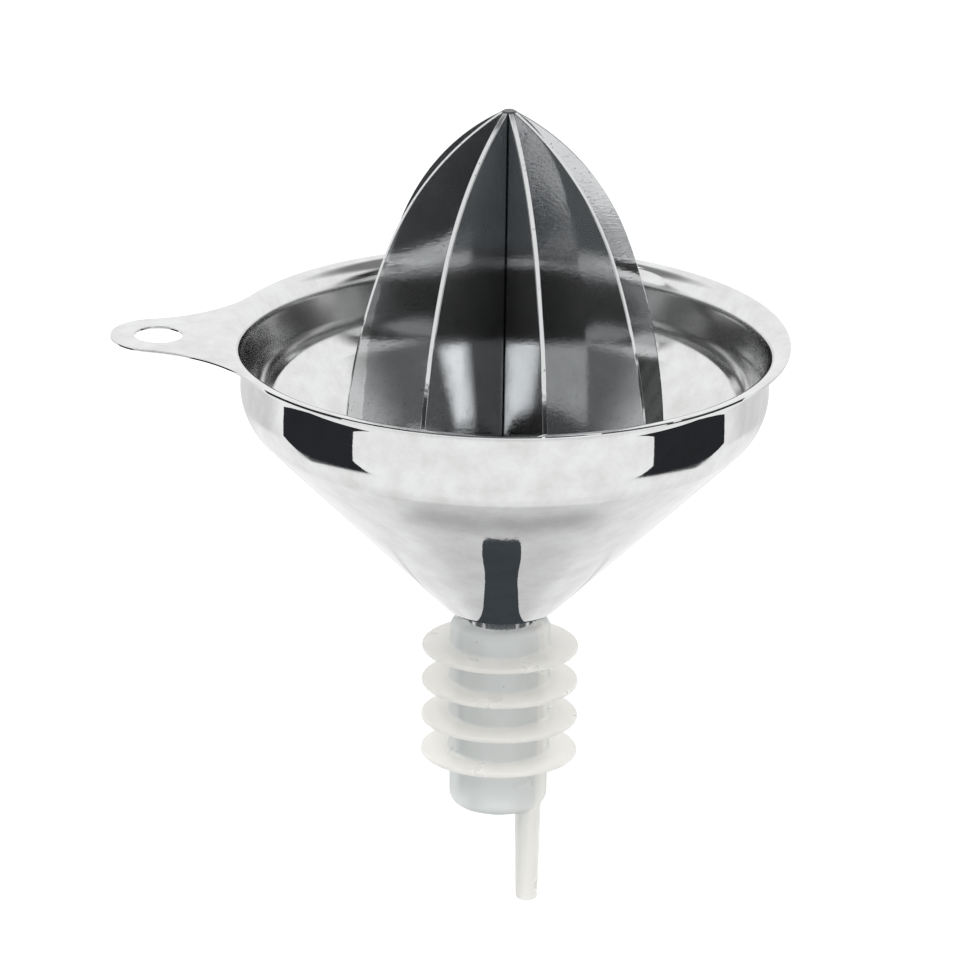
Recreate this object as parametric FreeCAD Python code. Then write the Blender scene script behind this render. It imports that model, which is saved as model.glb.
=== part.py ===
import FreeCAD, Part
import math
import os

from FreeCAD import Vector

# Bottle-top citrus reamer: a finned reamer standing loose in a steel funnel,
# whose neck plugs into a moulded bottle stopper with a vent tube.
# Millimetres, +Z up. The origin is on the axis, at the underside of the lowest
# sealing disc, where the stopper's plain foot begins.

# Stopper
stopper_radius = 8.9
foot_radius = 8.7
foot_length = 9.4
head_length = 4.4
stopper_edge_round = 2.4
stopper_lip_round = 1.4
stopper_mouth_round = 0.6
stopper_floor = 2.8
outlet_radius = 3.4

# Sealing discs round the stopper
disc_count = 4
disc_pitch = 6.55
disc_radius = 13.9
disc_root_thickness = 1.5
disc_edge_thickness = 0.9
disc_edge_flat = 0.12

# Vent: a tube below the stopper, and a channel up through its wall
vent_angle = -27.0
tube_radius = 2.3
tube_tip_radius = 1.95
tube_bore_radius = 1.1
tube_cover = 0.35
tube_free_length = 17.3
tube_end_round = 0.7
channel_radius = 0.8
bead_radius = 2.3
bead_rise = 0.3

# Funnel, pressed from one sheet, with a neck tube welded under it
sheet = 0.5
flange_radius = 50.4
lip_round = 3.2
wall_radius = 46.7
wall_drop = 13.0
wall_round = 9.5
bowl_depth = 50.5
throat_ledge = 3.5
throat_round = 3.5
neck_radius = 5.7
neck_tip_radius = 4.6
neck_wall = 0.5
neck_showing = 1.8

# Tab that the funnel hangs by
tab_reach = 61.2
tab_end_radius = 8.5
tab_hole_radius = 4.3
tab_flare_radius = 25.0

# Reamer: flat fins that meet along the axis
fin_count = 8
fin_turn = 14.8
fin_thickness = 0.9
fin_radius = 29.3
fin_heel = 6.4
shoulder_step = 7.4
shoulder_height = 17.9
tip_height = 42.7
tip_radius = 1.0
reamer_foot_radius = 10.0
fin_edge_round = 0.12

# Fits between the bodies
neck_clearance = 0.05
seat_clearance = 0.2

# Levels and places that follow from the sizes above
disc_levels = [disc_root_thickness / 2 + disc_pitch * n for n in range(disc_count)]
stopper_bottom = -foot_length
stopper_top = disc_levels[-1] + disc_root_thickness / 2 + head_length
floor_top = stopper_bottom + stopper_floor
bowl_bottom = stopper_top + neck_showing
rim_top = bowl_bottom + bowl_depth
throat_radius = neck_radius + throat_ledge
tube_offset = foot_radius - tube_cover - tube_radius
channel_offset = (neck_radius + neck_clearance + stopper_radius) / 2
bead_offset = stopper_radius + bead_rise - bead_radius

os.makedirs("parts", exist_ok=True)


def save(shape, node):
    shape.exportStep("parts/" + node + ".step")


# Profiles are drawn in the plane of X and Z and turned round the axis.


def at(radius, level):
    return Vector(radius, 0, level)


def line(start, end):
    return Part.LineSegment(start, end).toShape()


def turn_between(before, corner, after):
    """Angle that a path turns through at a corner: positive to the left."""
    a = corner - before
    b = after - corner
    return math.atan2(a.x * b.z - a.z * b.x, a.x * b.x + a.z * b.z)


def rounded_path(points, rounds):
    """Edges from point to point. Each inner corner has a radius, 0 if sharp."""
    edges = []
    start = points[0]
    for before, corner, after, radius in zip(points, points[1:], points[2:], rounds):
        if radius == 0:
            edges.append(line(start, corner))
            start = corner
            continue
        half = turn_between(before, corner, after) / 2
        back = (before - corner).normalize()
        ahead = (after - corner).normalize()
        setback = radius * abs(math.tan(half))
        inward = (back + ahead).normalize()
        arc_start = corner + back * setback
        arc_end = corner + ahead * setback
        arc_middle = corner + inward * (radius / math.cos(half) - radius)
        edges.append(line(start, arc_start))
        edges.append(Part.Arc(arc_start, arc_middle, arc_end).toShape())
        start = arc_end
    edges.append(line(start, points[-1]))
    return edges


def shifted_path(points, distance):
    """The same straight runs, moved sideways to the path's right."""
    runs = []
    for start, end in zip(points, points[1:]):
        along = (end - start).normalize()
        right = Vector(along.z, 0, -along.x)
        runs.append((start + right * distance, end + right * distance, along))
    moved = [runs[0][0]]
    for (p, _, a), (q, _, b) in zip(runs, runs[1:]):
        reach = ((q.x - p.x) * b.z - (q.z - p.z) * b.x) / (a.x * b.z - a.z * b.x)
        moved.append(p + a * reach)
    moved.append(runs[-1][1])
    return moved


def turned(edges):
    """The solid of a closed profile turned once round the axis."""
    profile = Part.Face(Part.Wire(Part.__sortEdges__(edges)))
    return profile.revolve(Vector(0, 0, 0), Vector(0, 0, 1), 360)


def turned_outline(points, rounds=None):
    """As above, from corner points. The last point is joined to the first."""
    rounds = rounds or [0] * (len(points) - 2)
    return turned(rounded_path(points, rounds) + [line(points[-1], points[0])])


def vent_place(offset):
    """A point of the vent's side of the stopper, this far from the axis."""
    angle = math.radians(vent_angle)
    return Vector(offset * math.cos(angle), offset * math.sin(angle), 0)


def vent_rod(radius, bottom, top, offset):
    return Part.makeCylinder(radius, top - bottom, vent_place(offset) + at(0, bottom))


# Stopper


def neck_radius_at(level):
    share = (level - floor_top) / (bowl_bottom - floor_top)
    return neck_tip_radius + share * (neck_radius - neck_tip_radius)


def stopper_outside(radius):
    """A plain plug of this radius on the slimmer foot."""
    return turned_outline(
        [
            at(0, stopper_bottom),
            at(foot_radius, stopper_bottom),
            at(foot_radius, 0),
            at(radius, 0),
            at(radius, stopper_top),
            at(0, stopper_top),
        ],
        [stopper_edge_round, 0, 0, stopper_lip_round],
    )


def neck_socket():
    """The tapered hole that grips the funnel's neck, with a rounded mouth."""
    low = neck_tip_radius + neck_clearance
    high = neck_radius_at(stopper_top) + neck_clearance
    past_mouth = high + 2 * stopper_mouth_round
    return turned_outline(
        [
            at(0, floor_top),
            at(low, floor_top),
            at(high, stopper_top),
            at(past_mouth, stopper_top),
            at(past_mouth, bowl_bottom),
            at(0, bowl_bottom),
        ],
        [0, stopper_mouth_round, 0, 0],
    )


def vent_bead():
    """The strip of wall that stands proud over the vent channel."""
    rod = vent_rod(bead_radius, 0, stopper_top, bead_offset)
    return rod.common(stopper_outside(stopper_radius + bead_rise))


def stopper_body():
    body = stopper_outside(stopper_radius).fuse(vent_bead())
    outlet = Part.makeCylinder(outlet_radius, stopper_floor, at(0, stopper_bottom))
    channel = vent_rod(channel_radius, floor_top, stopper_top, channel_offset)
    tube_hole = vent_rod(tube_radius, stopper_bottom, floor_top, tube_offset)
    return body.cut([neck_socket(), outlet, channel, tube_hole])


def sealing_disc(level):
    """A flexible disc, thinner towards its rounded edge."""
    root = disc_root_thickness / 2
    edge = disc_edge_thickness / 2
    edge_round = edge - disc_edge_flat / 2
    disc = turned_outline(
        [
            at(stopper_radius, level - root),
            at(disc_radius, level - edge),
            at(disc_radius, level + edge),
            at(stopper_radius, level + root),
        ],
        [edge_round, edge_round],
    )
    return disc.cut(vent_bead())


def vent_tube():
    """Held in the stopper's floor. Its free end is drawn in and rounded."""
    free_end = stopper_bottom - tube_free_length
    tube = turned_outline(
        [
            at(tube_bore_radius, free_end),
            at(tube_tip_radius, free_end),
            at(tube_radius, stopper_bottom),
            at(tube_radius, floor_top),
            at(tube_bore_radius, floor_top),
        ],
        [tube_end_round, 0, 0],
    )
    tube.translate(vent_place(tube_offset))
    return tube


# Funnel


def sheet_underside():
    """Corners of the sheet's outer face, from the flange's edge to the neck."""
    return [
        at(flange_radius, rim_top - sheet),
        at(wall_radius, rim_top - sheet),
        at(wall_radius, rim_top - wall_drop),
        at(throat_radius, bowl_bottom),
        at(neck_radius - neck_wall, bowl_bottom),
    ]


def funnel_bowl():
    outer = sheet_underside()
    inner = shifted_path(outer, sheet)
    outer_rounds = [lip_round, wall_round, throat_round]
    turns = [turn_between(*corner) for corner in zip(outer, outer[1:], outer[2:])]
    inner_rounds = [r + math.copysign(sheet, t) for r, t in zip(outer_rounds, turns)]
    edges = rounded_path(outer, outer_rounds) + rounded_path(inner, inner_rounds)
    return turned(edges + [line(outer[0], inner[0]), line(outer[-1], inner[-1])])


def cone_level(radius, gap=0.0):
    """Height, at this radius, of a line held this gap off the cone's inside."""
    inside = shifted_path(sheet_underside(), sheet + gap)
    high, low = inside[2], inside[3]
    return low.z + (radius - low.x) / (high.x - low.x) * (high.z - low.z)


def funnel_neck():
    return turned_outline([
        at(neck_radius, bowl_bottom),
        at(neck_tip_radius, floor_top),
        at(neck_tip_radius - neck_wall, floor_top),
        at(neck_radius - neck_wall, bowl_bottom),
    ])


def hang_tab():
    """The eye outside the flange, with two hollow flares that run into it."""
    to_rim = flange_radius + tab_flare_radius
    to_eye = tab_end_radius + tab_flare_radius
    flare_x = -(to_rim ** 2 - to_eye ** 2 + tab_reach ** 2) / (2 * tab_reach)
    flare_y = math.sqrt(to_rim ** 2 - flare_x ** 2)
    eye = Vector(-tab_reach, 0, 0)
    edges = []
    rim_ends = []
    eye_ends = []
    for side in (1, -1):
        flare = Vector(flare_x, side * flare_y, 0)
        on_rim = flare * (flange_radius / to_rim)
        on_eye = eye + (flare - eye) * (tab_end_radius / to_eye)
        inward = ((on_rim + on_eye) / 2 - flare).normalize()
        waist = flare + inward * tab_flare_radius
        edges.append(Part.Arc(on_rim, waist, on_eye).toShape())
        rim_ends.append(on_rim)
        eye_ends.append(on_eye)
    on_flange = Vector(-flange_radius, 0, 0)
    tip = eye - Vector(tab_end_radius, 0, 0)
    edges.append(Part.Arc(rim_ends[0], on_flange, rim_ends[1]).toShape())
    edges.append(Part.Arc(eye_ends[0], tip, eye_ends[1]).toShape())
    plate = Part.Face(Part.Wire(Part.__sortEdges__(edges))).extrude(at(0, sheet))
    tab = plate.cut(Part.makeCylinder(tab_hole_radius, sheet, eye))
    tab.translate(at(0, rim_top - sheet))
    return tab


# Reamer


def tangent_arc(start, heading, end):
    """An arc that leaves its start along a heading and runs to its end."""
    chord = end - start
    half = math.atan2(heading.x * chord.z - heading.z * chord.x, heading.dot(chord))
    bulge = chord.Length / 2 * math.tan(half / 2)
    across = Vector(chord.z, 0, -chord.x).normalize()
    return Part.Arc(start, start + chord / 2 + across * bulge, end).toShape()


def fin_outline():
    """One fin's side view: an ogive that stands upright on the funnel's cone."""
    heel = at(fin_radius, cone_level(fin_radius, seat_clearance))
    hip = heel + at(0, fin_heel)
    shoulder = at(fin_radius - shoulder_step, rim_top + shoulder_height)
    tip = at(tip_radius, rim_top + tip_height)
    toe = at(reamer_foot_radius, cone_level(reamer_foot_radius, seat_clearance))
    half = math.atan2(shoulder_step, shoulder.z - hip.z)
    heading = at(-math.sin(2 * half), math.cos(2 * half))
    return [
        tangent_arc(hip, at(0, 1), shoulder),
        tangent_arc(shoulder, heading, tip),
        line(tip, at(0, tip.z)),
        line(at(0, tip.z), at(0, toe.z)),
        line(at(0, toe.z), toe),
        line(toe, heel),
        line(heel, hip),
    ]


def fin_wedge():
    """The fin's share of the round, so that all fins meet along the axis."""
    half = math.pi / fin_count
    reach = 2 * fin_radius
    points = [
        Vector(0, 0, 0),
        Vector(reach * math.cos(half), -reach * math.sin(half), 0),
        Vector(reach * math.cos(half), reach * math.sin(half), 0),
    ]
    sector = Part.Face(Part.makePolygon(points + points[:1]))
    return sector.extrude(at(0, rim_top + tip_height))


def reamer_fin():
    """A flat plate, its outer edges broken, mitred to its share of the round."""
    side = Part.Face(Part.Wire(Part.__sortEdges__(fin_outline())))
    side.translate(Vector(0, -fin_thickness / 2, 0))
    plate = side.extrude(Vector(0, fin_thickness, 0))
    outer = [
        edge
        for edge in plate.Edges
        if min(v.X for v in edge.Vertexes) > tip_radius / 2
        and max(v.Y for v in edge.Vertexes) == min(v.Y for v in edge.Vertexes)
    ]
    return plate.makeFillet(fin_edge_round, outer).common(fin_wedge())


save(stopper_body(), "stopper_body")
for number, level in enumerate(disc_levels, 1):
    save(sealing_disc(level), "sealing_disc_" + str(number))
save(vent_tube(), "vent_tube")
save(funnel_bowl(), "funnel_bowl")
save(hang_tab(), "hang_tab")
save(funnel_neck(), "funnel_neck")
fin = reamer_fin()
for number in range(fin_count):
    placed = fin.copy()
    placed.rotate(Vector(0, 0, 0), Vector(0, 0, 1), fin_turn + number * 360 / fin_count)
    save(placed, "reamer_fin_" + str(number + 1))
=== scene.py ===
import math

import bmesh
import bpy
from bpy.props import FloatProperty, IntProperty, PointerProperty, StringProperty
from mathutils import Matrix, Vector


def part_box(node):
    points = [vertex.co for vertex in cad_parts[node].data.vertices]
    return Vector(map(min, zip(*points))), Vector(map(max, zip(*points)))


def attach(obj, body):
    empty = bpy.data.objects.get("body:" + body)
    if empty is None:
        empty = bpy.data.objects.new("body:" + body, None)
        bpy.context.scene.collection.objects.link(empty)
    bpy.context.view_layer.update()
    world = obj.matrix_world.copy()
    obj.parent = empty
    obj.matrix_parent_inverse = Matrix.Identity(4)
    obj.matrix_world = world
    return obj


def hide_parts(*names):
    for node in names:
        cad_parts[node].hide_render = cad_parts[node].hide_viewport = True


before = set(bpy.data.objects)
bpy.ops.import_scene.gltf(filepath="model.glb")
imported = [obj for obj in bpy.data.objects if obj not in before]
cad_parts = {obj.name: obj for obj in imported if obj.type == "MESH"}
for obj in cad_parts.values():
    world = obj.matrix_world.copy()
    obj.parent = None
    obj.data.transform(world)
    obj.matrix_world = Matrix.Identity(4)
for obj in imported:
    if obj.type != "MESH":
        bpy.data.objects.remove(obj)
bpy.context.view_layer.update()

bl_info = {
    "name": "Bottle-top citrus reamer",
    "version": (1, 0, 0),
    "blender": (4, 5, 0),
    "location": "3D View > Sidebar > Citrus reamer",
    "description": "Steel reamer and funnel on a moulded bottle stopper",
    "category": "Object",
}

mm = 0.001
full_turn = 2 * math.pi

bowl_low, bowl_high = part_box("funnel_bowl")
neck_low, neck_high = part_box("funnel_neck")
body_low, body_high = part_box("stopper_body")
tube_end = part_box("vent_tube")[0].z
fin_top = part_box("reamer_fin_1")[1].z


# Settings


def length(name, default, description):
    return FloatProperty(
        name=name, default=default, description=description,
        unit="LENGTH", subtype="DISTANCE", precision=5,
    )


def angle(name, degrees, description):
    return FloatProperty(
        name=name, default=math.radians(degrees), description=description,
        unit="ROTATION", subtype="ANGLE",
    )


def colour(name, default, description):
    return StringProperty(name=name, default=default, description=description)


class FunnelSettings(bpy.types.PropertyGroup):
    sheet: length("Sheet", 0.5 * mm, "Thickness of the pressed sheet")
    flange_radius: length("Flange radius", bowl_high.y, "Axis to the flange's edge")
    wall_radius: length("Wall radius", 46.7 * mm, "Axis to the outside of the wall")
    wall_drop: length("Wall drop", 13 * mm, "Rim down to where wall and cone would cross")
    lip_round: length("Lip round", 3.7 * mm, "Inside radius between flange and wall")
    wall_round: length("Wall round", 9 * mm, "Inside radius between wall and cone")
    throat_ledge: length("Throat ledge", 3.5 * mm, "Width of the ledge round the neck")
    throat_round: length("Throat round", 3 * mm, "Inside radius between cone and ledge")
    neck_radius: length("Neck radius", 5.7 * mm, "Neck's outside at the bowl")
    neck_tip_radius: length("Neck tip radius", 4.6 * mm, "Neck's outside at its lower end")
    tab_reach: length("Tab reach", 61.2 * mm, "Axis to the middle of the tab's hole")
    tab_end_radius: length("Tab end radius", 8.5 * mm, "Outside radius round the hole")
    tab_hole_radius: length("Tab hole radius", 4.3 * mm, "Radius of the hole")
    tab_flare_radius: length("Tab flare radius", 25 * mm, "Hollow curve from eye to flange")
    edge_break: length("Edge break", 0.09 * mm, "Rounding of the sheet's cut edges")
    steel: colour("Steel", "#e9eaea", "Colour of the polished sheet")
    stain: colour("Stain", "#d9d9d8", "Colour where polishing paste has dulled it")


class ReamerSettings(bpy.types.PropertyGroup):
    fins: IntProperty(name="Fins", default=8, description="Number of fins")
    turn: angle("Turn", 14.8, "Turn of the first fin from the right")
    thickness: length("Thickness", 0.9 * mm, "Thickness of a fin")
    radius: length("Radius", 29.3 * mm, "Axis to the fins' outer edge")
    heel: length("Heel", 6.4 * mm, "Height of the upright stretch above the cone")
    shoulder_step: length("Shoulder step", 7.4 * mm, "Edge to shoulder, inwards")
    shoulder_height: length("Shoulder height", 17.9 * mm, "Shoulder above the rim")
    tip_radius: length("Tip radius", 1 * mm, "Where the fins end at the top")
    foot_radius: length("Foot radius", 10 * mm, "Where the fins end at the bottom")
    seat: length("Seat", 0.2 * mm, "Clearance between the fins and the cone")
    edge_break: length("Edge break", 0.12 * mm, "Rounding of the fins' outer edges")
    steel: colour("Steel", "#d8d9da", "Colour of the polished fins")
    ground: colour("Ground edges", "#f3f3f1", "Colour of the fins' ground edges")
    joint: colour("Joint", "#1c1e20", "Colour of the unpolished joint along the axis")


class StopperSettings(bpy.types.PropertyGroup):
    radius: length("Radius", 8.9 * mm, "Radius of the stopper between its discs")
    foot_radius: length("Foot radius", 8.7 * mm, "Radius below the lowest disc")
    edge_round: length("Edge round", 2.4 * mm, "Rounding of the lower edge")
    lip_round: length("Lip round", 1.4 * mm, "Rounding of the upper edge")
    mouth_round: length("Mouth round", 0.6 * mm, "Rounding round the neck")
    floor: length("Floor", 2.8 * mm, "Thickness of the stopper's floor")
    outlet_radius: length("Outlet radius", 3.4 * mm, "Hole in the floor")
    discs: IntProperty(name="Discs", default=4, description="Number of sealing discs")
    disc_pitch: length("Disc pitch", 6.55 * mm, "Height from disc to disc")
    disc_radius: length("Disc radius", 13.9 * mm, "Axis to a disc's edge")
    disc_root: length("Disc root", 1.5 * mm, "Thickness of a disc at the body")
    disc_edge: length("Disc edge", 0.9 * mm, "Thickness of a disc at its edge")
    disc_fillet: length("Disc fillet", 0.4 * mm, "Inner rounding at a disc's root")
    vent_turn: angle("Vent turn", -27, "Where the vent stands round the stopper")
    tube_radius: length("Tube radius", 2.3 * mm, "Outside of the vent tube")
    tube_tip_radius: length("Tube tip radius", 1.95 * mm, "Outside at the tube's end")
    tube_bore_radius: length("Tube bore radius", 1.1 * mm, "Bore of the vent tube")
    tube_cover: length("Tube cover", 0.35 * mm, "Foot's edge to the tube")
    tube_end_round: length("Tube end round", 0.7 * mm, "Rounding of the tube's end")
    channel_radius: length("Channel radius", 0.8 * mm, "Vent channel in the wall")
    bead_radius: length("Bead radius", 2.3 * mm, "Proud strip over the vent channel")
    bead_rise: length("Bead rise", 0.3 * mm, "How far that strip stands proud")
    plastic: colour("Plastic", "#faf9f6", "Colour of the natural polyethylene")
    # Painted shade: this darker colour is painted on the stopper's body between and below the discs.
    # It is not the plastic's own colour.
    painted_shade: colour("Hollow", "#edf0ef", "Colour where the stopper is hollow")


class StageSettings(bpy.types.PropertyGroup):
    elevation: angle("Elevation", 20.04, "Camera above the horizon")
    roll: angle("Roll", 0.94, "Camera turned about its line of sight")
    distance: length("Distance", 2.5, "Camera to the middle of the flange")
    picture: IntProperty(name="Picture", default=980, description="Side of the picture in pixels")
    pixels_per_metre: FloatProperty(
        name="Pixels per metre", default=5671,
        description="Scale of the picture at the middle of the flange")
    flange_across: FloatProperty(
        name="Flange across", default=505.4, subtype="PIXEL",
        description="Middle of the flange from the picture's left side")
    flange_down: FloatProperty(
        name="Flange down", default=340.1, subtype="PIXEL",
        description="Middle of the flange from the picture's top")
    floor_drop: length("Floor drop", 30 * mm, "Floor below the vent tube's end")
    paper: colour("Paper", "#f4f4f4", "Colour of the floor")
    side_card: colour("Side card", "#2b2d30", "Colour of the cards low at the sides")
    near_card: colour("Near card", "#41464a", "Colour of the cards below and at the neck")


# Mesh helpers


def at(radius, level):
    return Vector((radius, 0, level))


def turn_between(before, corner, after):
    """Angle that a path in X and Z turns through at a corner, left positive."""
    a = corner - before
    b = after - corner
    return math.atan2(a.x * b.z - a.z * b.x, a.x * b.x + a.z * b.z)


def rounded_run(bm, points, rounds, steps=8):
    """A wire through the points. Each inner corner is rounded by its radius."""
    verts = [bm.verts.new(point) for point in points]
    for start, end in zip(verts, verts[1:]):
        bm.edges.new((start, end))
    corners = zip(points, points[1:], points[2:])
    for vert, corner, radius in zip(verts[1:], corners, rounds):
        if radius == 0:
            continue
        setback = radius * abs(math.tan(turn_between(*corner) / 2))
        bmesh.ops.bevel(
            bm, geom=[vert], offset=setback, offset_type="OFFSET", segments=steps,
            profile=0.5, affect="VERTICES", material=-1,
        )
    return verts


def signed_turn(centre, start, end):
    """Turn about Z, seen from above, that takes one point to another."""
    a = start - centre
    b = end - centre
    return math.atan2(a.x * b.y - a.y * b.x, a.x * b.x + a.y * b.y)


def part_long_edges(bm, longest):
    """Cuts the long straight stretches, so that smooth shading stays local."""
    for edge in bm.edges[:]:
        cuts = int(edge.calc_length() / longest)
        if cuts:
            bmesh.ops.subdivide_edges(bm, edges=[edge], cuts=cuts)


def spin_round(bm, steps, centre=(0, 0, 0)):
    """Turns everything once round an upright axis."""
    bmesh.ops.spin(
        bm, geom=bm.verts[:] + bm.edges[:], cent=centre, axis=(0, 0, 1),
        dvec=(0, 0, 0), angle=full_turn, steps=steps, use_merge=True,
        use_duplicate=False,
    )
    bmesh.ops.remove_doubles(bm, verts=bm.verts, dist=0.002 * mm)
    bmesh.ops.recalc_face_normals(bm, faces=bm.faces)


def shade_smooth(mesh, sharp=35):
    """Smooth shading, but for the edges that turn by more degrees than this."""
    for face in mesh.polygons:
        face.use_smooth = True
    mesh.set_sharp_from_angle(angle=math.radians(sharp))


def finished(bm, name, sharp=35):
    """The mesh as an object at the origin, smooth but for its sharp edges."""
    mesh = bpy.data.meshes.new(name)
    bm.to_mesh(mesh)
    bm.free()
    shade_smooth(mesh, sharp)
    piece = bpy.data.objects.new(name, mesh)
    bpy.context.scene.collection.objects.link(piece)
    return piece


def dress(piece, material, body, slot, *nodes):
    """Gives a piece its finish and its body, and hides the nodes that it stands
    for. Its slot is not used.
    """
    piece.data.materials.clear()
    piece.data.materials.append(material)
    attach(piece, body)
    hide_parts(*nodes)
    return piece


def carve(piece, cutters, operation):
    """Cuts or joins other objects, which are used up, into a piece."""
    for cutter in cutters:
        modifier = piece.modifiers.new("Carve", "BOOLEAN")
        modifier.operation = operation
        modifier.solver = "EXACT"
        modifier.object = cutter
    graph = bpy.context.evaluated_depsgraph_get()
    carved = bpy.data.meshes.new_from_object(piece.evaluated_get(graph))
    piece.modifiers.clear()
    old = piece.data
    piece.data = carved
    carved.name = piece.name
    bpy.data.meshes.remove(old)
    for cutter in cutters:
        mesh = cutter.data
        bpy.data.objects.remove(cutter)
        bpy.data.meshes.remove(mesh)


# Material helpers. The colours of a Mix node are its inputs 6 and 7.


def linear(code):
    """An sRGB hex colour in linear light."""
    values = [int(code[i:i + 2], 16) / 255 for i in (1, 3, 5)]
    return [v / 12.92 if v <= 0.04045 else ((v + 0.055) / 1.055) ** 2.4 for v in values] + [1.0]


def add_node(tree, kind, inputs=None, **settings):
    """A node with its settings. An input is a value, a socket to link from, or a
    node to link from, whose first output in use is taken."""
    node = tree.nodes.new(kind)
    for key, value in settings.items():
        setattr(node, key, value)
    for key, value in (inputs or {}).items():
        if isinstance(value, bpy.types.Node):
            value = next(output for output in value.outputs if output.enabled)
        if isinstance(value, bpy.types.NodeSocket):
            tree.links.new(value, node.inputs[key])
        else:
            node.inputs[key].default_value = value
    return node


def new_material(name):
    material = bpy.data.materials.new(name)
    material.use_nodes = True
    material.node_tree.nodes.clear()
    return material, material.node_tree


def per_metre(feature):
    """Noise scale, on coordinates in metres, for features of this size."""
    return 1 / feature


def from_axis(tree, place):
    """How far a place lies from the upright axis."""
    flat = add_node(tree, "ShaderNodeVectorMath", {0: place, 1: (1, 1, 0)}, operation="MULTIPLY")
    return add_node(tree, "ShaderNodeVectorMath", {0: flat}, operation="LENGTH")


def on_waves(tree, fine, wave):
    """Height of a surface whose fine ripples ride on waves many times as high."""
    wave_height = 7.0
    high = add_node(tree, "ShaderNodeMath", {0: wave, 1: wave_height}, operation="MULTIPLY")
    return add_node(tree, "ShaderNodeMath", {0: fine, 1: high}, operation="ADD")


def steel_sheet(settings):
    """Stainless steel, pressed and then buffed to a mirror: sharp reflections,
    slightly wavy from the pressing, with faint stains from the paste. The wall's
    inside, which the buffing wheel hardly reaches, stays satin."""
    material, tree = new_material("stainless_steel_pressed_and_buffed")
    place = add_node(tree, "ShaderNodeTexCoord").outputs["Object"]
    haze = add_node(tree, "ShaderNodeTexNoise", {
        "Vector": place, "Scale": per_metre(14 * mm), "Detail": 3.0})
    buffed = add_node(tree, "ShaderNodeMapRange", {"Value": haze, "To Min": 0.015, "To Max": 0.04})
    inside = add_node(tree, "ShaderNodeMapRange", {
        "Value": from_axis(tree, place), "From Min": settings.wall_radius - 0.2 * settings.sheet,
        "From Max": settings.wall_radius - 0.6 * settings.sheet})
    cone_edge = bowl_high.z - settings.wall_drop
    over_cone = add_node(tree, "ShaderNodeMapRange", {
        "Value": add_node(tree, "ShaderNodeSeparateXYZ", {"Vector": place}).outputs["Z"],
        "From Min": cone_edge - 1 * mm, "From Max": cone_edge + 3 * mm})
    satin = add_node(tree, "ShaderNodeMath", {0: inside, 1: over_cone}, operation="MULTIPLY")
    rough = add_node(tree, "ShaderNodeMapRange", {"Value": satin, "To Min": buffed, "To Max": 0.2})
    paste = add_node(tree, "ShaderNodeTexNoise", {
        "Vector": place, "Scale": per_metre(5 * mm), "Detail": 5.0, "Roughness": 0.65})
    stained = add_node(tree, "ShaderNodeMapRange", {
        "Value": paste, "From Min": 0.35, "From Max": 0.7})
    peel = add_node(tree, "ShaderNodeTexNoise", {
        "Vector": place, "Scale": per_metre(2.2 * mm), "Detail": 2.0})
    wave = add_node(tree, "ShaderNodeTexNoise", {
        "Vector": place, "Scale": per_metre(9 * mm), "Detail": 0.0})
    bump = add_node(tree, "ShaderNodeBump", {
        "Height": on_waves(tree, peel, wave), "Strength": 0.35, "Distance": 0.012 * mm})
    tone = add_node(tree, "ShaderNodeMix", {
        0: stained, 6: linear(settings.steel), 7: linear(settings.stain)}, data_type="RGBA")
    shader = add_node(tree, "ShaderNodeBsdfPrincipled", {
        "Base Color": tone, "Metallic": 1.0, "Roughness": rough, "Normal": bump})
    add_node(tree, "ShaderNodeOutputMaterial", {"Surface": shader})
    return material


def steel_tube(settings):
    """Stainless steel tube, drawn and left as it is: satin, with fine lines along
    it, so that it shows only soft light and dark stripes."""
    material, tree = new_material("stainless_steel_tube_drawn")
    place = add_node(tree, "ShaderNodeTexCoord").outputs["Object"]
    along = add_node(tree, "ShaderNodeMapping", {"Vector": place, "Scale": (1, 1, 0.1)})
    line = add_node(tree, "ShaderNodeTexNoise", {
        "Vector": along, "Scale": per_metre(0.3 * mm), "Detail": 2.0})
    rough = add_node(tree, "ShaderNodeMapRange", {"Value": line, "To Min": 0.22, "To Max": 0.32})
    bump = add_node(tree, "ShaderNodeBump", {
        "Height": line, "Strength": 0.4, "Distance": 0.005 * mm})
    shader = add_node(tree, "ShaderNodeBsdfPrincipled", {
        "Base Color": linear(settings.steel), "Metallic": 1.0, "Roughness": rough,
        "Normal": bump})
    add_node(tree, "ShaderNodeOutputMaterial", {"Surface": shader})
    return material


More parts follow.
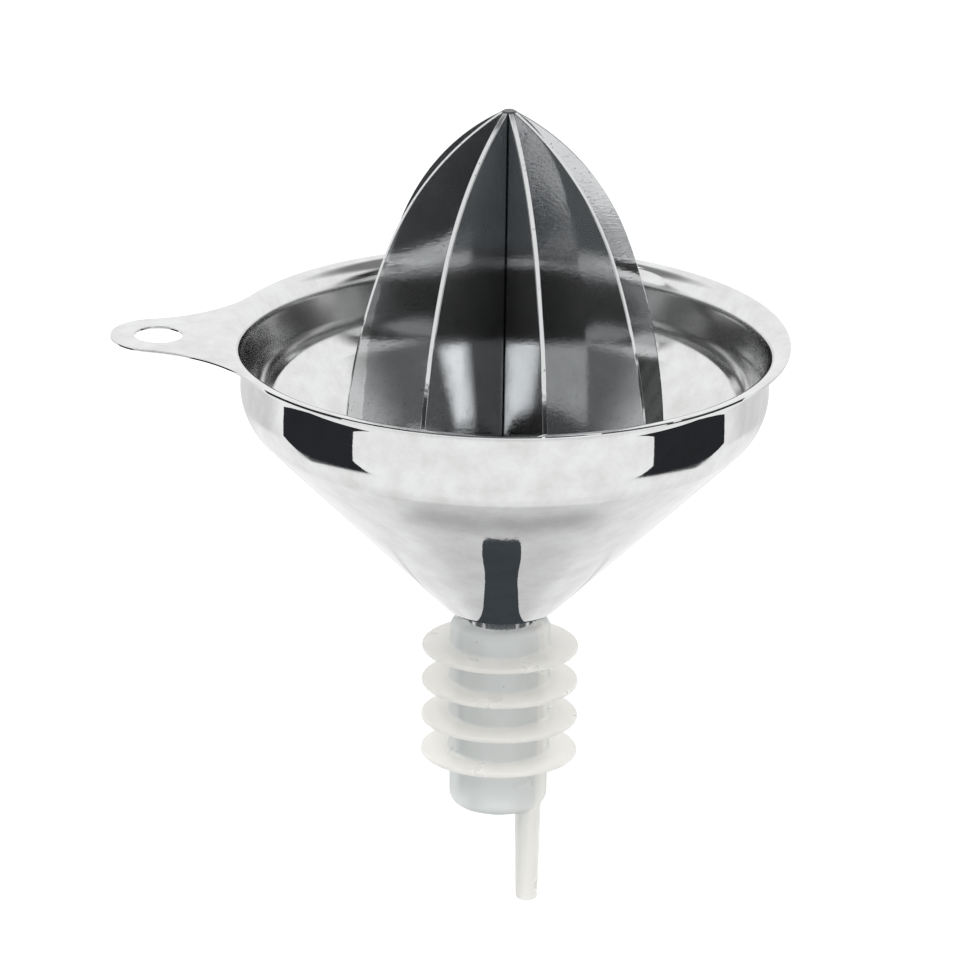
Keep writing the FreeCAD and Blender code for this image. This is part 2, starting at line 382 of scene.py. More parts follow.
def steel_plate(settings):
    """Stainless steel plate, polished by hand: a mirror with small ripples, which
    break up the reflected lights, and a few pits. Dust left by the polishing
    scatters a little light, which shows where the mirror sees only dark."""
    material, tree = new_material("stainless_steel_plate_polished")
    place = add_node(tree, "ShaderNodeTexCoord").outputs["Object"]
    upright = add_node(tree, "ShaderNodeMapping", {"Vector": place, "Scale": (0.5, 0.5, 1)})
    ripple = add_node(tree, "ShaderNodeTexNoise", {
        "Vector": upright, "Scale": per_metre(0.45 * mm), "Detail": 1.0})
    wave = add_node(tree, "ShaderNodeTexNoise", {
        "Vector": place, "Scale": per_metre(9 * mm), "Detail": 1.0})
    bump = add_node(tree, "ShaderNodeBump", {
        "Height": on_waves(tree, ripple, wave), "Strength": 1.0, "Distance": 0.003 * mm})
    rough = add_node(tree, "ShaderNodeMapRange", {
        "Value": wave, "From Min": 0.3, "From Max": 0.7, "To Min": 0.035, "To Max": 0.09})
    spot = add_node(tree, "ShaderNodeTexNoise", {
        "Vector": place, "Scale": per_metre(0.35 * mm), "Detail": 0.0})
    pit = add_node(tree, "ShaderNodeMapRange", {
        "Value": spot, "From Min": 0.76, "From Max": 0.8, "To Max": 0.6})
    joint = add_node(tree, "ShaderNodeMapRange", {
        "Value": from_axis(tree, place), "From Min": 1.25 * mm, "From Max": 1.5 * mm,
        "To Min": 0.85, "To Max": 0.0}, interpolation_type="SMOOTHSTEP")
    dark = add_node(tree, "ShaderNodeMath", {0: joint, 1: pit}, operation="MAXIMUM")
    tone = add_node(tree, "ShaderNodeMix", {
        0: dark, 6: linear(settings.steel), 7: linear(settings.joint)}, data_type="RGBA")
    shader = add_node(tree, "ShaderNodeBsdfPrincipled", {
        "Base Color": tone, "Metallic": 0.965, "Roughness": rough, "Normal": bump})
    add_node(tree, "ShaderNodeOutputMaterial", {"Surface": shader})
    return material


def steel_edge(settings):
    """Stainless steel, its cut edge ground with a belt: satin, with fine
    scratches across it that spread the light of the lamps along it."""
    material, tree = new_material("stainless_steel_edge_ground")
    place = add_node(tree, "ShaderNodeTexCoord").outputs["Object"]
    across = add_node(tree, "ShaderNodeMapping", {"Vector": place, "Scale": (0.2, 0.2, 1)})
    scratch = add_node(tree, "ShaderNodeTexNoise", {
        "Vector": across, "Scale": per_metre(0.4 * mm), "Detail": 2.0})
    rough = add_node(tree, "ShaderNodeMapRange", {
        "Value": scratch, "To Min": 0.12, "To Max": 0.25})
    bump = add_node(tree, "ShaderNodeBump", {
        "Height": scratch, "Strength": 0.5, "Distance": 0.01 * mm})
    shader = add_node(tree, "ShaderNodeBsdfPrincipled", {
        "Base Color": linear(settings.ground), "Metallic": 1.0, "Roughness": rough,
        "Normal": bump})
    add_node(tree, "ShaderNodeOutputMaterial", {"Surface": shader})
    return material


def natural_polyethylene(settings):
    """Polyethylene without pigment, injection moulded: milky, so that what is
    behind it shows as soft shapes, with a satin surface from the mould. The
    body inside the discs' roots carries a painted shade, greyer than the discs,
    except along the vent in its wall."""
    material, tree = new_material("polyethylene_natural_moulded")
    place = add_node(tree, "ShaderNodeTexCoord").outputs["Object"]
    cloud = add_node(tree, "ShaderNodeTexNoise", {
        "Vector": place, "Scale": per_metre(6 * mm), "Detail": 2.0})
    rough = add_node(tree, "ShaderNodeMapRange", {"Value": cloud, "To Min": 0.24, "To Max": 0.34})
    grain = add_node(tree, "ShaderNodeTexNoise", {
        "Vector": place, "Scale": per_metre(0.8 * mm), "Detail": 3.0})
    bump = add_node(tree, "ShaderNodeBump", {
        "Height": grain, "Strength": 0.3, "Distance": 0.02 * mm})
    # Painted shade: the body inside the discs' roots gets the darker colour, except on the strip over
    # the vent.
    body = add_node(tree, "ShaderNodeMapRange", {
        "Value": from_axis(tree, place), "From Min": settings.radius + 0.4 * mm,
        "From Max": settings.radius + 0.05 * mm})
    out_x, out_y = math.cos(settings.vent_turn), math.sin(settings.vent_turn)
    aside = add_node(tree, "ShaderNodeVectorMath", {
        0: place, 1: (-out_y, out_x, 0)}, operation="DOT_PRODUCT")
    gap = add_node(tree, "ShaderNodeMath", {0: aside}, operation="ABSOLUTE")
    beside = add_node(tree, "ShaderNodeMapRange", {
        "Value": gap, "From Min": 0.8 * settings.bead_radius, "From Max": settings.bead_radius})
    outwards = add_node(tree, "ShaderNodeVectorMath", {
        0: place, 1: (out_x, out_y, 0)}, operation="DOT_PRODUCT")
    behind = add_node(tree, "ShaderNodeMapRange", {
        "Value": outwards, "From Min": 0.0, "From Max": -1 * mm})
    off_vent = add_node(tree, "ShaderNodeMath", {0: beside, 1: behind}, operation="MAXIMUM")
    grey = add_node(tree, "ShaderNodeMath", {0: body, 1: off_vent}, operation="MULTIPLY")
    tone = add_node(tree, "ShaderNodeMix", {
        0: grey, 6: linear(settings.plastic), 7: linear(settings.painted_shade)}, data_type="RGBA")
    skin = add_node(tree, "ShaderNodeBsdfPrincipled", {
        "Base Color": tone, "Roughness": rough, "IOR": 1.51, "Transmission Weight": 0.45,
        "Normal": bump})
    depth = add_node(tree, "ShaderNodeBsdfTranslucent", {"Color": tone})
    milky = add_node(tree, "ShaderNodeMixShader", {0: 0.3, 1: skin, 2: depth})
    add_node(tree, "ShaderNodeOutputMaterial", {"Surface": milky})
    return material


# Funnel


class CITRUS_OT_funnel(bpy.types.Operator):
    """Makes the funnel and its hanging tab from one sheet."""
    bl_idname = "citrus.funnel"
    bl_label = "Funnel"

    def execute(self, context):
        s = context.scene.citrus_funnel
        rim = bowl_high.z
        floor = bowl_low.z + s.sheet
        wall = s.wall_radius - s.sheet
        slope_corner = rim - s.wall_drop + s.sheet * (math.sqrt(2) - 1)
        ledge = floor - slope_corner + wall
        points = [
            at(s.flange_radius, rim),
            at(wall, rim),
            at(wall, slope_corner),
            at(ledge, floor),
            at(s.neck_radius - s.sheet, floor),
        ]
        bm = bmesh.new()
        rounded_run(bm, points, [s.lip_round, s.wall_round, s.throat_round], steps=12)
        part_long_edges(bm, 4 * mm)
        spin_round(bm, 256)
        self.add_tab(bm, s, rim)
        bmesh.ops.recalc_face_normals(bm, faces=bm.faces)
        if max(bm.faces, key=lambda f: f.calc_center_median().x).normal.z < 0:
            bmesh.ops.reverse_faces(bm, faces=bm.faces)
        funnel = finished(bm, "funnel_sheet")
        wall_maker = funnel.modifiers.new("Sheet", "SOLIDIFY")
        wall_maker.thickness = s.sheet
        wall_maker.offset = -1
        wall_maker.use_even_offset = True
        edge = funnel.modifiers.new("Edge", "BEVEL")
        edge.width = s.edge_break
        edge.segments = 2
        edge.limit_method = "ANGLE"
        edge.angle_limit = math.radians(60)
        funnel.modifiers.new("Shading", "WEIGHTED_NORMAL").keep_sharp = True
        dress(funnel, steel_sheet(s), "funnel", "funnel", "funnel_bowl", "hang_tab")
        return {"FINISHED"}

    def add_tab(self, bm, s, level):
        """Runs the flange out into the tab: flare, eye, flare, then the hole."""
        to_rim = s.flange_radius + s.tab_flare_radius
        to_eye = s.tab_end_radius + s.tab_flare_radius
        flare_x = -(to_rim ** 2 - to_eye ** 2 + s.tab_reach ** 2) / (2 * s.tab_reach)
        flare_y = math.sqrt(to_rim ** 2 - flare_x ** 2)
        eye = Vector((-s.tab_reach, 0, level))
        flares = [Vector((flare_x, side * flare_y, level)) for side in (1, -1)]
        rim_verts = [
            v for v in bm.verts
            if v.is_boundary and v.co.xy.length > s.flange_radius - 0.1 * mm
        ]
        starts = []
        for flare in flares:
            on_rim = (flare.xy * (s.flange_radius / to_rim)).to_3d() + Vector((0, 0, level))
            nearest = min(rim_verts, key=lambda v: (v.co - on_rim).length)
            nearest.co = on_rim
            starts.append(nearest)
        reach_aside = abs(starts[0].co.y) + 0.001 * mm
        rim_edges = [
            e for e in bm.edges
            if e.is_boundary and all(v in rim_verts for v in e.verts)
            and all(v.co.x < 0 and abs(v.co.y) <= reach_aside for v in e.verts)
        ]
        ends = []
        for flare, start in zip(flares, starts):
            on_eye = eye + (flare - eye) * (s.tab_end_radius / to_eye)
            made = bmesh.ops.spin(
                bm, geom=[start], cent=flare, axis=(0, 0, 1), dvec=(0, 0, 0),
                angle=signed_turn(flare, start.co, on_eye), steps=28, use_merge=False,
                use_duplicate=False)
            ends.append(next(g for g in made["geom_last"] if isinstance(g, bmesh.types.BMVert)))
        span = signed_turn(eye, ends[0].co, ends[1].co)
        if span < 0:
            span += full_turn
        bmesh.ops.spin(
            bm, geom=[ends[0]], cent=eye, axis=(0, 0, 1), dvec=(0, 0, 0),
            angle=span, steps=56, use_merge=False, use_duplicate=False)
        bmesh.ops.remove_doubles(bm, verts=bm.verts, dist=0.01 * mm)
        outline = [e for e in bm.edges if e.is_wire]
        hole = bmesh.ops.create_circle(
            bm, cap_ends=False, radius=s.tab_hole_radius, segments=56,
            matrix=Matrix.Translation(eye))
        hole_edges = {e for v in hole["verts"] for e in v.link_edges}
        rim_edges = [e for e in rim_edges if e.is_valid]
        bmesh.ops.triangle_fill(
            bm, use_beauty=True, use_dissolve=False,
            edges=outline + rim_edges + list(hole_edges), normal=(0, 0, 1))


class CITRUS_OT_neck(bpy.types.Operator):
    """Makes the tapered neck tube under the funnel."""
    bl_idname = "citrus.neck"
    bl_label = "Neck"

    def execute(self, context):
        s = context.scene.citrus_funnel
        top, bottom = neck_high.z, neck_low.z
        edge_round = 0.12 * mm
        bm = bmesh.new()
        run = rounded_run(bm, [
            at(s.neck_radius - s.sheet, top),
            at(s.neck_radius, top),
            at(s.neck_tip_radius, bottom),
            at(s.neck_tip_radius - s.sheet, bottom),
        ], [0, edge_round], steps=2)
        bm.edges.new((run[0], run[-1]))
        part_long_edges(bm, 4 * mm)
        spin_round(bm, 128)
        neck = finished(bm, "neck_tube")
        dress(neck, steel_tube(s), "funnel", "funnel", "funnel_neck")
        # The photo's funnel doesn't mirror its own neck.
        neck.visible_glossy = False
        return {"FINISHED"}


# Reamer


class CITRUS_OT_reamer(bpy.types.Operator):
    """Makes the reamer's fins, which meet along the axis."""
    bl_idname = "citrus.reamer"
    bl_label = "Reamer"

    def cone_level(self, s, f, radius):
        """Height at this radius of the fins' foot, clear of the cone's inside."""
        gap = (f.sheet + s.seat) * math.sqrt(2)
        return bowl_high.z - f.wall_drop - f.wall_radius + radius + gap

    def arc(self, bm, vert, heading, end, steps):
        """Draws an arc from a vertex, along its heading, to an end point."""
        chord = end - vert.co
        half = math.atan2(heading.x * chord.z - heading.z * chord.x, heading.dot(chord))
        radius = chord.length / 2 / math.sin(half)
        centre = vert.co + Vector((-heading.z, 0, heading.x)) * radius
        made = bmesh.ops.spin(
            bm, geom=[vert], cent=centre, axis=(0, -1, 0), dvec=(0, 0, 0),
            angle=2 * half, steps=steps, use_merge=False, use_duplicate=False)
        last = next(g for g in made["geom_last"] if isinstance(g, bmesh.types.BMVert))
        turned = Matrix.Rotation(-2 * half, 3, "Y") @ heading
        return last, turned

    def execute(self, context):
        s = context.scene.citrus_reamer
        f = context.scene.citrus_funnel
        rim = bowl_high.z
        bm = bmesh.new()
        hip_level = self.cone_level(s, f, s.radius) + s.heel
        hip = bm.verts.new(at(s.radius, hip_level))
        shoulder_end = at(s.radius - s.shoulder_step, rim + s.shoulder_height)
        shoulder, heading = self.arc(bm, hip, Vector((0, 0, 1)), shoulder_end, steps=14)
        tip, _ = self.arc(bm, shoulder, heading, at(s.tip_radius, fin_top), steps=26)
        corners = [
            at(0, fin_top),
            at(0, self.cone_level(s, f, s.foot_radius)),
            at(s.foot_radius, self.cone_level(s, f, s.foot_radius)),
            at(s.radius, self.cone_level(s, f, s.radius)),
        ]
        last = tip
        for corner in corners:
            vert = bm.verts.new(corner)
            bm.edges.new((last, vert))
            last = vert
        bm.edges.new((last, hip))
        flank = bmesh.ops.contextual_create(bm, geom=bm.edges[:])["faces"]
        bmesh.ops.translate(bm, verts=bm.verts, vec=(0, -s.thickness / 2, 0))
        grown = bmesh.ops.extrude_face_region(bm, geom=flank)
        moved = [g for g in grown["geom"] if isinstance(g, bmesh.types.BMVert)]
        bmesh.ops.translate(bm, verts=moved, vec=(0, s.thickness, 0))
        bmesh.ops.recalc_face_normals(bm, faces=bm.faces)
        outer_edges = [
            e for e in bm.edges
            if abs(e.verts[0].co.y - e.verts[1].co.y) < 0.01 * mm
            and min(v.co.x for v in e.verts) > s.tip_radius / 2
        ]
        bmesh.ops.bevel(
            bm, geom=outer_edges, offset=s.edge_break, offset_type="OFFSET", segments=2,
            profile=0.5, affect="EDGES", material=-1, clamp_overlap=True)
        for face in bm.faces:
            is_edge = abs(face.normal.y) < 0.9
            if is_edge and (face.calc_center_median().x > s.tip_radius or face.normal.z > 0.5):
                face.material_index = 1
        share_of_round = math.pi / s.fins
        for side in (1, -1):
            normal = Vector((-math.sin(share_of_round), side * math.cos(share_of_round), 0))
            bmesh.ops.bisect_plane(
                bm, geom=bm.verts[:] + bm.edges[:] + bm.faces[:], dist=0.0005 * mm,
                plane_co=(0, 0, 0), plane_no=normal, clear_outer=True)
        bmesh.ops.rotate(
            bm, verts=bm.verts, cent=(0, 0, 0), matrix=Matrix.Rotation(s.turn, 3, "Z"))
        fin = bm.verts[:] + bm.edges[:] + bm.faces[:]
        for number in range(1, s.fins):
            copy = bmesh.ops.duplicate(bm, geom=fin)["geom"]
            verts = [g for g in copy if isinstance(g, bmesh.types.BMVert)]
            bmesh.ops.rotate(
                bm, verts=verts, cent=(0, 0, 0),
                matrix=Matrix.Rotation(full_turn * number / s.fins, 3, "Z"))
        bmesh.ops.remove_doubles(bm, verts=bm.verts, dist=0.005 * mm)
        reamer = finished(bm, "reamer", sharp=20)
        dress(reamer, steel_plate(s), "reamer", "reamer",
              *["reamer_fin_%d" % (n + 1) for n in range(s.fins)])
        reamer.data.materials.append(steel_edge(s))
        return {"FINISHED"}


# Stopper


class CITRUS_OT_stopper(bpy.types.Operator):
    """Makes the stopper, its discs and its vent tube as one moulding."""
    bl_idname = "citrus.stopper"
    bl_label = "Stopper"

    def execute(self, context):
        s = context.scene.citrus_stopper
        f = context.scene.citrus_funnel
        top, bottom = body_high.z, body_low.z
        floor = bottom + s.floor
        fit = 0.05 * mm
        points = [at(s.outlet_radius, bottom), at(s.foot_radius, bottom)]
        rounds = [s.edge_round]
        edge_round = s.disc_edge / 2 - 0.06 * mm
        inner = s.foot_radius
        for number in range(s.discs):
            level = s.disc_root / 2 + s.disc_pitch * number
            points += [
                at(inner, level - s.disc_root / 2),
                at(s.disc_radius, level - s.disc_edge / 2),
                at(s.disc_radius, level + s.disc_edge / 2),
                at(s.radius, level + s.disc_root / 2),
            ]
            rounds += [s.disc_fillet, edge_round, edge_round, s.disc_fillet]
            inner = s.radius
        mouth = self.neck_radius_at(f, top) + fit
        points += [
            at(s.radius, top),
            at(mouth, top),
            at(f.neck_tip_radius + fit, floor),
            at(s.outlet_radius, floor),
        ]
        rounds += [s.lip_round, s.mouth_round, 0]
        bm = bmesh.new()
        run = rounded_run(bm, points, rounds, steps=6)
        bm.edges.new((run[0], run[-1]))
        part_long_edges(bm, 3 * mm)
        spin_round(bm, 180)
        self.raise_bead(bm, s)
        stopper = finished(bm, "stopper")
        vent = Vector((math.cos(s.vent_turn), math.sin(s.vent_turn), 0))
        tube_place = vent * (s.foot_radius - s.tube_cover - s.tube_radius)
        channel_place = vent * ((f.neck_radius + fit + s.radius) / 2)
        tube = self.rod("tube", tube_place, [
            (s.tube_tip_radius, tube_end, s.tube_end_round),
            (s.tube_radius, bottom, 0),
            (s.tube_radius, bottom + 1 * mm, 0)])
        carve(stopper, [tube], "UNION")
        bore = self.rod("bore", tube_place, [
            (s.tube_bore_radius, tube_end - 1 * mm, 0), (s.tube_bore_radius, floor, 0)])
        channel = self.rod("channel", channel_place, [
            (s.channel_radius, floor - 0.4 * mm, 0), (s.channel_radius, top + 1 * mm, 0)])
        carve(stopper, [bore, channel], "DIFFERENCE")
        shade_smooth(stopper.data)
        dress(stopper, natural_polyethylene(s), "stopper", "stopper", "stopper_body",
              "vent_tube", *["sealing_disc_%d" % (n + 1) for n in range(s.discs)])
        # The photo's funnel mirrors only white and dark cards, not the stopper.
        stopper.visible_glossy = False
        return {"FINISHED"}

    def neck_radius_at(self, f, level):
        along = (level - neck_low.z) / (neck_high.z - neck_low.z)
        return f.neck_tip_radius + along * (f.neck_radius - f.neck_tip_radius)

    def raise_bead(self, bm, s):
        """Moves the wall over the vent channel out into a rounded strip."""
        middle = s.radius + s.bead_rise - s.bead_radius
        for vert in bm.verts:
            out = vert.co.xy.length
            if vert.co.z < 0.01 * mm or not s.radius - s.lip_round <= out <= s.radius + s.disc_fillet:
                continue
            turn = math.atan2(vert.co.y, vert.co.x) - s.vent_turn
            turn = (turn + math.pi) % full_turn - math.pi
            aside = middle * math.sin(turn)
            if abs(turn) > math.pi / 4 or abs(aside) >= s.bead_radius:
                continue
            bead = middle * math.cos(turn) + math.sqrt(s.bead_radius ** 2 - aside ** 2)
            if bead > s.radius:
                vert.co.xy *= (out + bead - s.radius) / out

    def rod(self, name, place, rings):
        """An upright closed rod through rings of radius, level and edge rounding."""
        bm = bmesh.new()
        points = [at(0, rings[0][1])] + [at(r, z) for r, z, _ in rings] + [at(0, rings[-1][1])]
        rounded_run(bm, points, [rounding for _, _, rounding in rings], steps=6)
        spin_round(bm, 64)
        bmesh.ops.translate(bm, verts=bm.verts, vec=place)
        return finished(bm, name)


# Stage


class CITRUS_OT_stage(bpy.types.Operator):
    """Makes the floor, the white surround, the cards, the lamps and the camera."""
    bl_idname = "citrus.stage"
    bl_label = "Stage"

    def execute(self, context):
        s = context.scene.citrus_stage
        self.surround(context.scene)
        self.floor(s)
        self.cards(s, context.scene.citrus_reamer.turn)
        self.lamps(context.scene)
        self.camera(context.scene, s)
        context.scene.view_settings.view_transform = "Standard"
        return {"FINISHED"}

    def window(self, tree, *edges):
        """1 inside its soft edges, 0 outside. An edge is a value, the level where
        the window begins and the level where it is fully open."""
        inside = 1.0
        for value, begins, opened in edges:
            edge = add_node(tree, "ShaderNodeMapRange", {
                "Value": value, "From Min": begins, "From Max": opened},
                interpolation_type="SMOOTHSTEP")
            inside = add_node(tree, "ShaderNodeMath", {0: inside, 1: edge}, operation="MULTIPLY")
        return inside

    def dimmed(self, tree, light, share, *edges):
        """The light, with a share of it taken away inside a window."""
        left = add_node(tree, "ShaderNodeMapRange", {
            "Value": self.window(tree, *edges), "To Min": 1.0, "To Max": 1 - share})
        return add_node(tree, "ShaderNodeMath", {0: light, 1: left}, operation="MULTIPLY")

    def tent(self, tree, way, back, up):
        """What the steel sees of the white tent round the object."""
        down_back = add_node(tree, "ShaderNodeVectorMath", {
            0: way, 1: (0, 0.34, -0.94)}, operation="DOT_PRODUCT")
        tent = self.dimmed(tree, 1.0, 0.1, (down_back, 0.75, 0.93))
        tent = self.dimmed(tree, tent, 0.25, (down_back, 0.93, 0.995))
        tent = self.dimmed(
            tree, tent, 0.23, (back, 0.35, 0.6), (up, -0.47, -0.38), (up, -0.1, -0.28))
        cloud = add_node(tree, "ShaderNodeTexNoise", {"Vector": way, "Scale": 5.0, "Detail": 2.0})
        dark_front = add_node(tree, "ShaderNodeMapRange", {
            "Value": cloud, "From Min": 0.4, "From Max": 0.7, "To Min": 0.02, "To Max": 0.17},
            interpolation_type="SMOOTHSTEP")
        in_front = self.window(tree, (back, -0.1, -0.3), (up, 0.04, 0.12))
        tent = add_node(tree, "ShaderNodeMapRange", {
            "Value": in_front, "To Min": tent, "To Max": dark_front})
        return self.dimmed(tree, tent, 0.75, (up, 0.68, 0.84))

    def steel_lamps(self, tree, way, back, up):
        """Two small round lamps overhead, and two strip lamps in front, each bent
        round the pole that it is given. Only the steel sees them."""
        lamp_power = 3.4
        lamps = 0.0
        for direction, reach in (((-0.27, 0.3, 0.915), 0.993), ((0.107, 0.338, 0.935), 0.992)):
            towards = add_node(tree, "ShaderNodeVectorMath", {
                0: way, 1: direction}, operation="DOT_PRODUCT")
            bright = add_node(tree, "ShaderNodeMath", {
                0: self.window(tree, (towards, reach, 1.0)), 1: lamp_power}, operation="MULTIPLY")
            lamps = add_node(tree, "ShaderNodeMath", {0: lamps, 1: bright}, operation="MAXIMUM")
        soft_edge = 0.07
        for pole, half in (((-0.865, -0.473, 0.164), 0.14), ((-0.49, 0.822, -0.291), 0.17)):
            towards = add_node(tree, "ShaderNodeVectorMath", {
                0: way, 1: pole}, operation="DOT_PRODUCT")
            off = add_node(tree, "ShaderNodeMath", {0: towards}, operation="ABSOLUTE")
            strip = self.window(
                tree, (off, half, half - soft_edge), (up, -0.05, 0.0), (back, 0.28, 0.2))
            lamps = add_node(tree, "ShaderNodeMath", {0: lamps, 1: strip}, operation="MAXIMUM")
        return lamps

    def surround(self, scene):
        """White to the camera, a plain light level elsewhere. In the steel it is
        a white tent: dim at the back below the object, dark above it and high in
        front, with two small lamps overhead and two strip lamps in front."""
        world = bpy.data.worlds.new("white_surround")
        world.use_nodes = True
        tree = world.node_tree
        tree.nodes.clear()
        path = add_node(tree, "ShaderNodeLightPath").outputs
        way = add_node(tree, "ShaderNodeTexCoord").outputs["Generated"]
        parts = add_node(tree, "ShaderNodeSeparateXYZ", {"Vector": way}).outputs
        seen_in_steel = add_node(tree, "ShaderNodeMath", {
            0: self.tent(tree, way, parts["Y"], parts["Z"]),
            1: self.steel_lamps(tree, way, parts["Y"], parts["Z"])}, operation="MAXIMUM")
        direct = add_node(tree, "ShaderNodeMath", {
            0: path["Is Camera Ray"], 1: path["Is Transmission Ray"]}, operation="MAXIMUM")
        plain = add_node(tree, "ShaderNodeMapRange", {
            "Value": direct, "To Min": 0.75, "To Max": 1.0})
        level = add_node(tree, "ShaderNodeMapRange", {
            "Value": path["Is Glossy Ray"], "To Min": plain, "To Max": seen_in_steel})
        shader = add_node(tree, "ShaderNodeBackground", {
            "Color": linear("#ffffff"), "Strength": level})
        add_node(tree, "ShaderNodeOutputWorld", {"Surface": shader})
        scene.world = world

    def seen_directly(self, tree):
        """1 for camera, glossy and transmission rays, 0 for the rest."""
        path = add_node(tree, "ShaderNodeLightPath").outputs
        seen = path["Is Camera Ray"]
        for ray in ("Is Glossy Ray", "Is Transmission Ray"):
            seen = add_node(tree, "ShaderNodeMath", {0: seen, 1: path[ray]}, operation="MAXIMUM")
        return seen

    def floor(self, s):
        """A wide pale floor. The steel sees the surround in its place."""
        own_light = 0.45
        bm = bmesh.new()
        bmesh.ops.create_grid(bm, x_segments=1, y_segments=1, size=6,
                              matrix=Matrix.Translation((0, 0, tube_end - s.floor_drop)))
        floor = finished(bm, "floor")
        material, tree = new_material("floor_paper")
        paper = add_node(tree, "ShaderNodeBsdfDiffuse", {"Color": linear(s.paper)})
        lift = add_node(tree, "ShaderNodeMath", {
            0: self.seen_directly(tree), 1: own_light}, operation="MULTIPLY")
        glow = add_node(tree, "ShaderNodeEmission", {"Color": linear("#ffffff"), "Strength": lift})
        lit = add_node(tree, "ShaderNodeAddShader", {0: paper, 1: glow})
        add_node(tree, "ShaderNodeOutputMaterial", {"Surface": lit})
        floor.data.materials.append(material)
        floor.visible_glossy = False

    def cards(self, s, reamer_turn):
        """Dark cards, seen only in the steel. Each of these is a stretch of an
        upright round wall, with its radius and its lower and upper edge in mm,
        where it starts, counted from the front, and its sweep in degrees."""
        for name, shade, radius, low, high, start, sweep in (
            ("card_right", s.side_card, 500, -350, -85, 66, 42),
            ("card_left", s.side_card, 500, -350, -85, -66, -42),
            ("card_neck", s.near_card, 8.5, 23.6, 26.2, -40, 80),
            ("card_right_high", "#53585a", 500, -85, -20, 72, 36),
            ("card_left_high", "#26292b", 500, -85, -20, -72, -36),
            ("card_front_left", "#303233", 350, -35, 20, -80, 45),
            ("card_front", "#606669", 350, -35, 20, -35, 49),
            ("card_front_far_right", "#4c5154", 350, -35, 20, 36.6, 30),
        ):
            bm = bmesh.new()
            rounded_run(bm, [at(radius * mm, low * mm), at(radius * mm, high * mm)], [])
            bmesh.ops.rotate(bm, verts=bm.verts, cent=(0, 0, 0),
                             matrix=Matrix.Rotation(math.radians(start - 90), 3, "Z"))
            bmesh.ops.spin(bm, geom=bm.verts[:] + bm.edges[:], cent=(0, 0, 0), axis=(0, 0, 1),
                           dvec=(0, 0, 0), angle=math.radians(sweep), steps=24,
                           use_merge=False, use_duplicate=False)
            self.hang_card(finished(bm, name), shade)
        self.card_beside_gap(2 * reamer_turn)
        self.card_in_line(s)
        self.veil_below()

    def hang_card(self, card, shade):
        """Gives a card its plain shade. Only the steel's reflections see it."""
        material, tree = new_material(card.name)
        glow = add_node(tree, "ShaderNodeEmission", {"Color": linear(shade), "Strength": 1.0})
        add_node(tree, "ShaderNodeOutputMaterial", {"Surface": glow})
        self.place_card(card, material)

    def place_card(self, card, material):
        """Hides a card from everything but reflections."""
        card.data.materials.append(material)
        for ray in ("camera", "diffuse", "transmission", "volume_scatter", "shadow"):
            setattr(card, "visible_" + ray, False)

    def cut_card(self, name, outline, distance, turn, shade):
        """A flat upright card, cut to an outline in mm. It hangs this many mm in
        front of the axis and is then carried round it by the turn."""
        bm = bmesh.new()
        corners = [bm.verts.new(Vector((x, -distance, z)) * mm) for x, z in outline]
        bmesh.ops.contextual_create(bm, geom=corners)
        bmesh.ops.rotate(bm, verts=bm.verts, cent=(0, 0, 0), matrix=Matrix.Rotation(turn, 3, "Z"))
        self.hang_card(finished(bm, name), shade)

    def card_beside_gap(self, turn):
        """Hangs where the rightmost fin looks. Its slanted side leaves the gap
        that lights this fin and none of the flutes."""
        outline = [
            (-90, 20), (0, 20), (0.5, -5), (8.8, -14), (15, -23), (18.5, -28.5), (45, -28.5),
            (45, -36), (-90, -36),
        ]
        self.cut_card("card_front_right", outline, distance=350, turn=turn, shade="#565b5e")

    def card_in_line(self, s):
        """A narrow card in line with the axis, under the cone: round at its lower
        end and slightly waisted above it."""
        lower_end = [(2.5, -42.8), (6, -41.8), (8, -40.2), (9, -38)]
        side = [(9.2, -34), (9, -30), (8.5, -26), (7.8, -22), (7.6, -17), (7.6, -12), (7.6, -6),
                (7.8, 0), (8.6, 26)]
        right = lower_end + side
        left = [(-x, z) for x, z in reversed(right)]
        self.cut_card("card_below", right + left, distance=0, turn=0, shade=s.near_card)

    def veil_below(self):
        """A level veil under the bowl, clear but for a grey oval ring, which the
        cone mirrors near its top. The ring fades towards its two sides."""
        reach = 50 * mm
        level = 18 * mm
        ring_x = 32 * mm
        ring_y = 24.9 * mm
        bm = bmesh.new()
        bmesh.ops.create_grid(bm, x_segments=1, y_segments=1, size=reach,
                              matrix=Matrix.Translation((0, 0, level)))
        material, tree = new_material("veil_below")
        place = add_node(tree, "ShaderNodeTexCoord").outputs["Object"]
        oval = add_node(tree, "ShaderNodeMapping", {
            "Vector": place, "Scale": (1 / ring_x, 1 / ring_y, 0)})
        out = add_node(tree, "ShaderNodeVectorMath", {0: oval}, operation="LENGTH")
        off = add_node(tree, "ShaderNodeMath", {0: out, 1: 1.0}, operation="SUBTRACT")
        off_ring = add_node(tree, "ShaderNodeMath", {0: off}, operation="ABSOLUTE")
        across = add_node(tree, "ShaderNodeSeparateXYZ", {"Vector": place}).outputs["X"]
        aside = add_node(tree, "ShaderNodeMath", {0: across}, operation="ABSOLUTE")
        clear = add_node(tree, "ShaderNodeBsdfTransparent", {"Color": self.dimmed(
            tree, 1.0, 0.28, (aside, 33 * mm, 20 * mm), (off_ring, 0.13, 0.0))})
        add_node(tree, "ShaderNodeOutputMaterial", {"Surface": clear})
        self.place_card(finished(bm, "veil_below"), material)

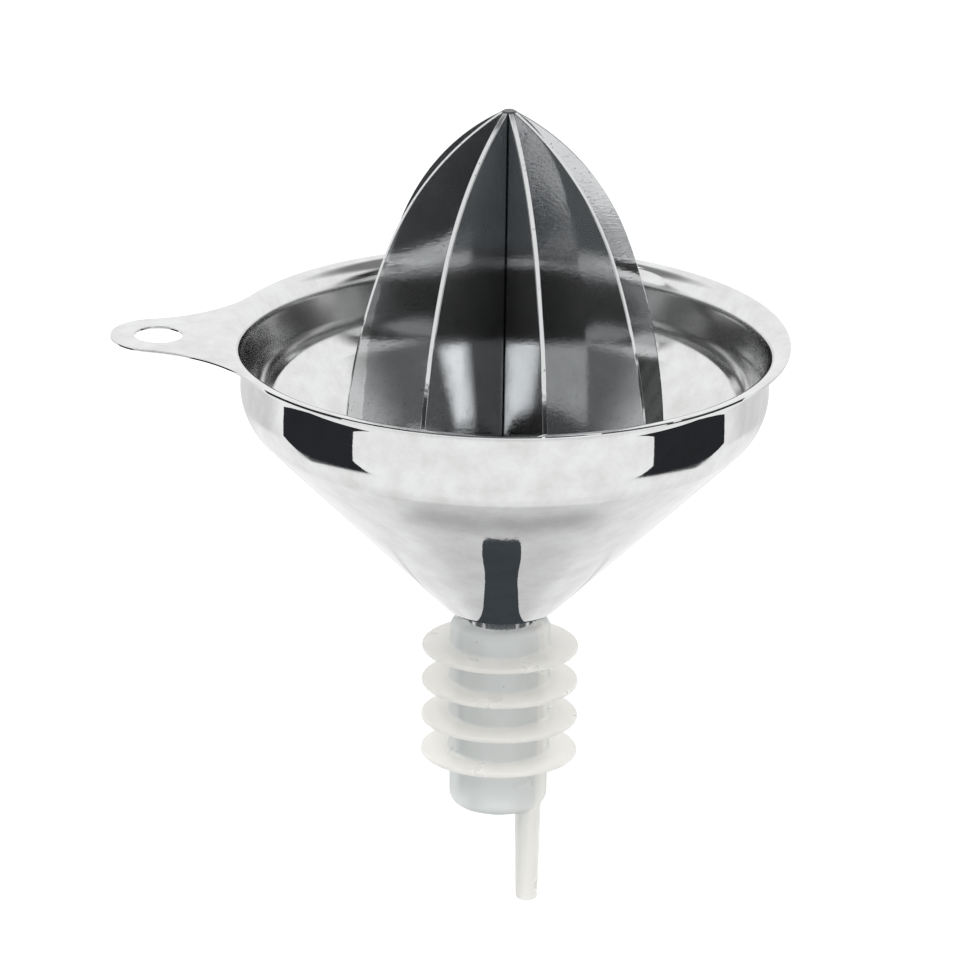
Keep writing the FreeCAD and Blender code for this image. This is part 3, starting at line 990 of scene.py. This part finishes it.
    def lamps(self, scene):
        """Two soft lamps, for the plastic and the floor."""
        for name, place, size, power in (
            ("lamp_key", (-0.5, -0.6, 0.9), 0.7, 5.0),
            ("lamp_fill", (0.8, -0.3, 0.6), 0.7, 3.0),
        ):
            data = bpy.data.lights.new(name, "AREA")
            data.size = size
            data.energy = power
            lamp = bpy.data.objects.new(name, data)
            lamp.location = place
            lamp.rotation_euler = (-Vector(place)).to_track_quat("-Z", "Y").to_euler()
            lamp.visible_glossy = False
            lamp.visible_camera = False
            scene.collection.objects.link(lamp)

    def camera(self, scene, s):
        """Stands where the flange's middle lands on its place in the picture."""
        data = bpy.data.cameras.new("camera")
        data.sensor_width = 36
        data.lens = s.pixels_per_metre * s.distance * data.sensor_width / s.picture
        data.clip_end = 100
        camera = bpy.data.objects.new("camera", data)
        scene.collection.objects.link(camera)
        ahead = Vector((0, math.cos(s.elevation), -math.sin(s.elevation)))
        turn = ahead.to_track_quat("-Z", "Y").to_matrix() @ Matrix.Rotation(s.roll, 3, "Z")
        across = (s.flange_across - s.picture / 2) / s.pixels_per_metre
        up = (s.picture / 2 - s.flange_down) / s.pixels_per_metre
        aim = Vector((0, 0, bowl_high.z)) - turn @ Vector((across, up, 0))
        camera.rotation_euler = turn.to_euler()
        camera.location = aim - ahead * s.distance
        scene.camera = camera


class CITRUS_PT_panel(bpy.types.Panel):
    bl_label = "Citrus reamer"
    bl_idname = "CITRUS_PT_panel"
    bl_space_type = "VIEW_3D"
    bl_region_type = "UI"
    bl_category = "Citrus reamer"

    def draw(self, context):
        for operator in operators:
            self.layout.operator(operator.bl_idname)
        for name in settings_groups:
            group = getattr(context.scene, name)
            box = self.layout.box()
            for key in group.bl_rna.properties.keys():
                if key not in ("rna_type", "name"):
                    box.prop(group, key)


settings_groups = {
    "citrus_funnel": FunnelSettings,
    "citrus_reamer": ReamerSettings,
    "citrus_stopper": StopperSettings,
    "citrus_stage": StageSettings,
}
operators = [
    CITRUS_OT_funnel,
    CITRUS_OT_neck,
    CITRUS_OT_reamer,
    CITRUS_OT_stopper,
    CITRUS_OT_stage,
]


def register():
    for name, group in settings_groups.items():
        bpy.utils.register_class(group)
        setattr(bpy.types.Scene, name, PointerProperty(type=group))
    for operator in operators:
        bpy.utils.register_class(operator)
    bpy.utils.register_class(CITRUS_PT_panel)


def unregister():
    bpy.utils.unregister_class(CITRUS_PT_panel)
    for operator in reversed(operators):
        bpy.utils.unregister_class(operator)
    for name, group in settings_groups.items():
        delattr(bpy.types.Scene, name)
        bpy.utils.unregister_class(group)


def main():
    register()
    for piece in ("funnel", "neck", "reamer", "stopper", "stage"):
        getattr(bpy.ops.citrus, piece)()


if __name__ == "__main__":
    main()
